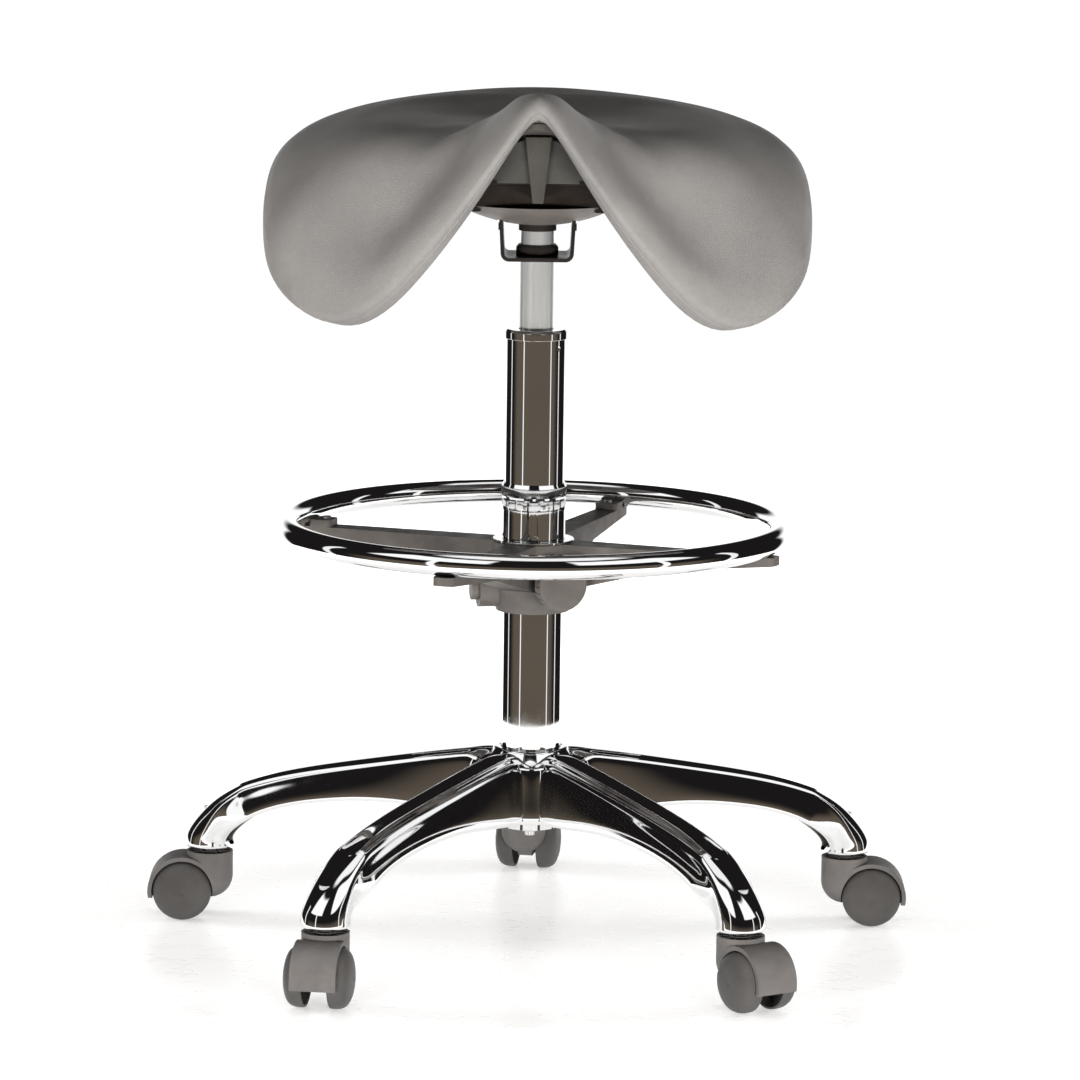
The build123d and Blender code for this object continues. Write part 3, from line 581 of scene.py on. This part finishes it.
def star():
    """The five legs with their hub flares, hollow and rough below, and the turned hub."""
    hub_side = []
    for column in range(3, -1, -1):
        ring = []
        for row in TOP_END + SIDE_END:
            x, y, z = row[column]
            if column == 3:
                x, y = y * math.cos(math.radians(x)), y * math.sin(math.radians(x))
            ring.append(np.array([x, y, z]))
        hub_side.append(ring)
    sections = [leg_rows(s) for s in STATIONS]
    outer = hub_side + [s[0] for s in sections]
    inner = [[s[0][-1], *s[1]] for s in sections[:INSIDE_STATIONS]]
    points, faces, rough = [], [], []
    for leg in range(LEGS):
        turn = math.radians(LEG_START + 360 / LEGS * leg)
        c, s = math.cos(turn), math.sin(turn)
        for mirror in (1, -1):
            for grid, is_rough in ((outer, False), (inner, True)):
                rows = []
                for line in grid:
                    rows.append(list(range(len(points), len(points) + len(line))))
                    for x, y, z in line:
                        y = y * mirror
                        points.append((x * c - y * s, x * s + y * c, z))
                quads = strips(rows)
                if is_rough:
                    rough += range(len(faces), len(faces) + len(quads))
                faces += quads
    made = piece("star_casting", points, faces, "chrome", "base", "chrome", "star_base",
                 second="cast", second_faces=rough)
    tidy(made, STAR_MERGE)
    smooth = made.modifiers.new("smooth", "SUBSURF")
    smooth.levels = smooth.render_levels = STAR_SMOOTHING
    points, faces = joined(lathe(HUB_RING, HUB_STEPS), lathe(HUB_CORE, HUB_STEPS))
    hub = piece("star_hub_ring", points, faces, "chrome", "base", "chrome")
    tidy(hub)


star()


# ---- foot ring ----------------------------------------------------------------------------------
RING_R, TUBE_R, RING_Z = 206.3, 10.0, 353.8
RING_STEPS, TUBE_STEPS = 256, 40
# the weld, ground almost flush: direction in radians, height and half length in millimetres
WELD_AT, WELD_HEIGHT, WELD_HALF = 1.9, 0.35, 2.2


def foot_rest():
    points, rows = [], []
    for i in range(RING_STEPS):
        a = 2 * math.pi * i / RING_STEPS
        bead = WELD_HEIGHT * math.exp(-((a - WELD_AT) * RING_R / WELD_HALF) ** 2)
        rows.append(list(range(len(points), len(points) + TUBE_STEPS)))
        for j in range(TUBE_STEPS):
            b = 2 * math.pi * j / TUBE_STEPS
            r = RING_R + (TUBE_R + bead) * math.cos(b)
            points.append((r * math.cos(a), r * math.sin(a), RING_Z + (TUBE_R + bead) * math.sin(b)))
    rows.append(rows[0])
    made = piece("foot_rest_tube", points, strips(rows, closed=True), "chrome", "foot_rest",
                 "chrome", "foot_ring")
    tidy(made)


foot_rest()


# ---- caster wheels ------------------------------------------------------------------------------
CASTER_AIM = [80.0, 180.0, 260.0, 304.0, 0.0]   # each caster's trail direction in degrees
TRAIL, AXLE_UP, WHEEL_STEPS = 23, 25, 80
# radius, and distance along the axle from the caster's middle plane: bore, inside, tread, outer face
WHEEL_FACE = [
    (3.05, 25.2), (3.05, 6.8), (6, 6.8), (6.4, 7.4), (6.8, 22.5), (9, 25.0), (14, 24.4), (18.4, 22.6),
    (21.2, 19.8), (22.4, 16), (22.8, 12), (22.9, 11.2), (23.3, 10.6), (24.4, 10.5), (24.9, 11.0),
    (25.0, 12.2), (25.0, 16.2), (24.85, 17.8), (24.3, 20.0), (23.2, 22.2), (21.4, 24.1), (18.8, 25.6),
    (15.2, 26.9), (11.0, 27.75), (6.5, 28.25), (2.6, 28.45), (1.6, 28.45), (1.3, 28.1), (0, 28.05),
]
TREAD_START, TREAD_END, TREAD_STEPS = 14, 25, 2     # the tread and outer face are drawn as a curve


def wheels():
    tread = [tuple(p) for p in curve_through(WHEEL_FACE[TREAD_START:TREAD_END], TREAD_STEPS)]
    profile = WHEEL_FACE[:TREAD_START] + tread + WHEEL_FACE[TREAD_END:]
    for number, aim in enumerate(CASTER_AIM, start=1):
        spot = math.radians(LEG_START + 360 / LEGS * (number - 1))
        place = (Matrix.Translation((STEM_AT * math.cos(spot), STEM_AT * math.sin(spot), 0))
                 @ Matrix.Rotation(math.radians(aim), 4, "Z") @ Matrix.Translation((TRAIL, 0, AXLE_UP)))
        for letter, side in (("a", -1), ("b", 1)):
            points, faces = lathe(profile, WHEEL_STEPS)
            lay = place @ Matrix.Rotation(math.radians(90 * side), 4, "X")
            points = [tuple(lay @ Vector(p)) for p in points]
            made = piece(f"caster_{number}_roller_{letter}", points, faces, "wheel",
                         f"wheel_{number}{letter}", "wheel_plastic", f"caster_{number}_wheel_{letter}")
            tidy(made)


wheels()


# ---- CAD pieces with rounded edges --------------------------------------------------------------
# node, width of the rounding in millimetres, look, slot
SOFTENED = [
    ("ring_spider", 1.2, "spider", "ring_plastic"), ("ring_clips", 0.8, "spider", "ring_plastic"),
    ("clamp_knob", 0.5, "spider", "ring_plastic"), ("pommel_panel", 0.9, "panel", "shell_plastic"),
    ("seat_frame", 1.0, "frame", "black_steel"), ("mount_bracket", 0.5, "blacksteel", "black_steel"),
    ("collet_sleeve", 0.5, "chrome", "chrome"), ("hub_flange", 0.4, "chrome", "chrome"),
    ("column_cap", 0.4, "chrome", "chrome"), ("seat_plate", 0.6, "blacksteel", "black_steel"),
    ("socket_collar", 0.4, "blacksteel", "black_steel"),
]
# metres: the panel's middle faces in front of RIB_BACK are its rib, and the faces behind
# SHELF_FRONT and below SHELF_TOP are its set-back shelf, given the frame's dark look as painted shade
RIB_BACK, RIB_HALF = -0.0985, 0.0125
SHELF_TOP, SHELF_FRONT, SHELF_HALF = 0.6561, -0.097, 0.009


def paint_panel(panel):
    """Gives the pommel panel's rib its own look, and its set-back shelf the frame's dark look as painted
    shade.
    """
    panel.data.materials.append(LOOKS["rib"])
    # the shelf's dark look is painted shade under the pommel's overhang
    panel.data.materials.append(LOOKS["frame"])
    corners = panel.data.vertices
    for face in panel.data.polygons:
        middle = sum((corners[i].co for i in face.vertices), Vector()) / len(face.vertices)
        if middle.y < RIB_BACK and abs(middle.x) < RIB_HALF:
            face.material_index = 1
        elif middle.z < SHELF_TOP and middle.y > SHELF_FRONT and abs(middle.x) > SHELF_HALF:
            face.material_index = 2


for number in CASTERS:
    softened(f"caster_{number}_body", 0.9, "caster", 3)
for node, width, look, slot in SOFTENED:
    soft = softened(node, width, look)
    if node == "pommel_panel":
        paint_panel(soft)


# ---- studio -------------------------------------------------------------------------------------
# the floor is a disc round the stool up to FLOOR_TURN degrees either side of the front, and runs on
# to two far corners behind it
FLOOR_R, FLOOR_TURN, FLOOR_EDGE_STEPS = 1.03, 146, 72
FAR_X, FAR_Y = 2.16, 3.2
FLOOR_GLOW, GLOW_REACH = (0.34, 1.1), (0.45, 1.3)   # emission near and far, and those distances
REFLECTED_STRENGTH, SEEN_STRENGTH = 1.15, 1.05
ROOM_DARK, ROOM_WARM = (0.010, 0.009, 0.009, 1), (0.105, 0.086, 0.066, 1)
BACKDROP_TURN, BACKDROP_RISE = (142, 149), (17, 10) # degrees: behind the stool, up to this height
OVERHEAD_RISE, OVERHEAD_SHARE = (66, 72), 0.9
ROOM_TURN, ROOM_RISE = (95, 70), (6, -3)            # degrees: where the dark room turns warm
BOX_LOW, BOX_HIGH = (0.42, 0.47), (0.82, 0.86)      # the two soft boxes, as sines of elevation
BOX_INNER, BOX_OUTER = (19, 23), (80, 86)           # and as degrees either side of the front
# bright upright strips: direction and half width in degrees, lowest and highest sine, strength
STRIPS = [(-46, 2.4, -0.5, 0.55, 1.0), (61, 2.2, -0.5, 0.6, 1.4), (-104, 3, -0.4, 0.5, 0.9),
          (100, 3, -0.4, 0.5, 0.9)]
STRIP_CORE, STRIP_FADE = 0.6, 0.02
# name, place, size, watts, point that it faces
MIDDLE_OF_STOOL, UNDER_SEAT = (0, 0, 0.45), (0, 0, 0.6)
LAMPS = [
    ("overhead", (0, 0.5, 3.0), (3.0, 2.4), 5, MIDDLE_OF_STOOL),
    ("left_side", (-2.4, 0.5, 0.7), (1.0, 1.2), 60, MIDDLE_OF_STOOL),
    ("right_side", (2.4, 0.5, 0.7), (1.0, 1.2), 60, MIDDLE_OF_STOOL),
    ("front_left", (-1.15, -2.3, 0.16), (1.2, 0.3), 165, UNDER_SEAT),
    ("front_right", (1.15, -2.3, 0.16), (1.2, 0.3), 185, UNDER_SEAT),
]


def reflections():
    """What the chrome mirrors, by direction, and the plain white that the camera sees."""
    world = bpy.data.worlds.new("studio")
    bpy.context.scene.world = world
    world.use_nodes = True
    tree = world.node_tree
    tree.nodes.clear()

    def node(kind, **settings):
        made = tree.nodes.new(kind)
        for key, value in settings.items():
            setattr(made, key, value)
        return made

    def math_node(operation, first, second=None):
        made = node("ShaderNodeMath", operation=operation)
        for socket, value in zip(made.inputs, (first, second)):
            if value is None:
                continue
            if isinstance(value, (int, float)):
                socket.default_value = value
            else:
                tree.links.new(value, socket)
        return made.outputs[0]

    def ramp(value, low, high):
        """0 at low, 1 at high, with soft ends."""
        made = node("ShaderNodeMapRange", interpolation_type="SMOOTHSTEP")
        made.inputs["From Min"].default_value, made.inputs["From Max"].default_value = low, high
        tree.links.new(value, made.inputs["Value"])
        return made.outputs["Result"]

    def turn_ramp(value, low, high):
        return ramp(value, math.radians(low), math.radians(high))

    def rise_ramp(low, high):
        return ramp(z, math.sin(math.radians(low)), math.sin(math.radians(high)))

    coords = node("ShaderNodeTexCoord")
    split = node("ShaderNodeSeparateXYZ")
    tree.links.new(coords.outputs["Generated"], split.inputs["Vector"])
    x, y, z = split.outputs
    # 0 towards the front, + to the right
    heading = math_node("ARCTAN2", x, math_node("MULTIPLY", y, -1.0))
    turned = math_node("ABSOLUTE", heading)
    backdrop = math_node("MULTIPLY", turn_ramp(turned, *BACKDROP_TURN), rise_ramp(*BACKDROP_RISE))
    overhead = math_node("MULTIPLY", rise_ramp(*OVERHEAD_RISE), OVERHEAD_SHARE)
    light = math_node("MAXIMUM", backdrop, overhead)

    def strip(middle, width, low, high, strength):
        away = math_node("ABSOLUTE", math_node("SUBTRACT", heading, math.radians(middle)))
        across = turn_ramp(away, width, width * STRIP_CORE)
        upright = math_node("MULTIPLY", ramp(z, low - STRIP_FADE, low),
                            ramp(z, high + STRIP_FADE, high))
        return math_node("MULTIPLY", math_node("MULTIPLY", across, upright), strength)

    high = math_node("MULTIPLY", ramp(z, *BOX_LOW), ramp(z, *reversed(BOX_HIGH)))
    wide = math_node("MULTIPLY", turn_ramp(turned, *BOX_INNER),
                     turn_ramp(turned, *reversed(BOX_OUTER)))
    light = math_node("MAXIMUM", light, math_node("MULTIPLY", high, wide))
    for values in STRIPS:
        light = math_node("MAXIMUM", light, strip(*values))
    colour = node("ShaderNodeMix", data_type="RGBA")
    tree.links.new(light, colour.inputs["Factor"])
    dim = node("ShaderNodeMix", data_type="RGBA")
    room = math_node("MULTIPLY", turn_ramp(turned, *ROOM_TURN), rise_ramp(*ROOM_RISE))
    tree.links.new(room, dim.inputs["Factor"])
    dim.inputs["A"].default_value = ROOM_DARK
    dim.inputs["B"].default_value = ROOM_WARM
    tree.links.new(dim.outputs["Result"], colour.inputs["A"])
    colour.inputs["B"].default_value = (1.0, 1.0, 1.0, 1)
    reflected = node("ShaderNodeBackground")
    tree.links.new(colour.outputs["Result"], reflected.inputs["Color"])
    reflected.inputs["Strength"].default_value = REFLECTED_STRENGTH
    seen = node("ShaderNodeBackground")
    seen.inputs["Color"].default_value = (1, 1, 1, 1)
    seen.inputs["Strength"].default_value = SEEN_STRENGTH
    path = node("ShaderNodeLightPath")
    choose = node("ShaderNodeMixShader")
    tree.links.new(path.outputs["Is Camera Ray"], choose.inputs["Fac"])
    tree.links.new(reflected.outputs[0], choose.inputs[1])
    tree.links.new(seen.outputs[0], choose.inputs[2])
    out = node("ShaderNodeOutputWorld")
    tree.links.new(choose.outputs[0], out.inputs["Surface"])


def lamps():
    for name, at, size, power, target in LAMPS:
        data = bpy.data.lights.new(name, "AREA")
        data.shape = "RECTANGLE"
        data.size, data.size_y = size
        data.energy = power
        lamp = bpy.data.objects.new(name, data)
        bpy.context.scene.collection.objects.link(lamp)
        lamp.location = at
        lamp.rotation_euler = (Vector(target) - Vector(at)).to_track_quat("-Z", "Y").to_euler()
        lamp.visible_glossy = False


def studio_floor():
    p = Paint("floor_paper")
    p.shader.inputs["Emission Color"].default_value = (1.0, 0.99, 0.97, 1)
    away = p.node("ShaderNodeVectorMath", operation="LENGTH")
    p.link(p.place, away.inputs[0])
    p.link(p.spread(away.outputs["Value"], *FLOOR_GLOW, *GLOW_REACH),
           p.shader.inputs["Emission Strength"])
    p.colours(p.noise(3, 2), (0.3, (0.70, 0.697, 0.69)), (0.7, (0.73, 0.727, 0.72)))
    p.rough(p.spread(p.noise(40, 3), 0.24, 0.34))
    half = FLOOR_EDGE_STEPS // 2
    edge = [math.radians(FLOOR_TURN * (i / half - 1)) for i in range(FLOOR_EDGE_STEPS + 1)]
    points = [(FLOOR_R * math.sin(a), -FLOOR_R * math.cos(a), 0) for a in edge]
    points += [(FAR_X, FAR_Y, 0), (-FAR_X, FAR_Y, 0)]
    mesh = bpy.data.meshes.new("studio_floor")
    mesh.from_pydata(points, [], [tuple(range(len(points)))])
    mesh.materials.append(p.material)
    floor = bpy.data.objects.new("studio_floor", mesh)
    bpy.context.scene.collection.objects.link(floor)


# ---- camera -------------------------------------------------------------------------------------
CAMERA_AT = (0, -5.5, 1.2181)
YAW, PITCH, CAMERA_ROLL = 0.0010, 0.1577, 0.0134    # radians
SENSOR_MM, LENS_MM, FAR_CLIP = 36.0, 221.7, 50


def camera():
    ahead = Vector((math.sin(YAW) * math.cos(PITCH), math.cos(YAW) * math.cos(PITCH), -math.sin(PITCH)))
    level = Vector((math.cos(YAW), -math.sin(YAW), 0))
    upright = level.cross(ahead)
    right = math.cos(CAMERA_ROLL) * level + math.sin(CAMERA_ROLL) * upright
    up = -math.sin(CAMERA_ROLL) * level + math.cos(CAMERA_ROLL) * upright
    data = bpy.data.cameras.new("camera")
    data.sensor_width, data.lens = SENSOR_MM, LENS_MM
    data.clip_end = FAR_CLIP
    cam = bpy.data.objects.new("camera", data)
    bpy.context.scene.collection.objects.link(cam)
    basis = Matrix((right, up, -ahead)).transposed().to_4x4()
    cam.matrix_world = Matrix.Translation(CAMERA_AT) @ basis
    bpy.context.scene.camera = cam


reflections()
lamps()
studio_floor()
camera()
bpy.context.scene.view_settings.view_transform = "Standard"

bpy.context.view_layer.update()
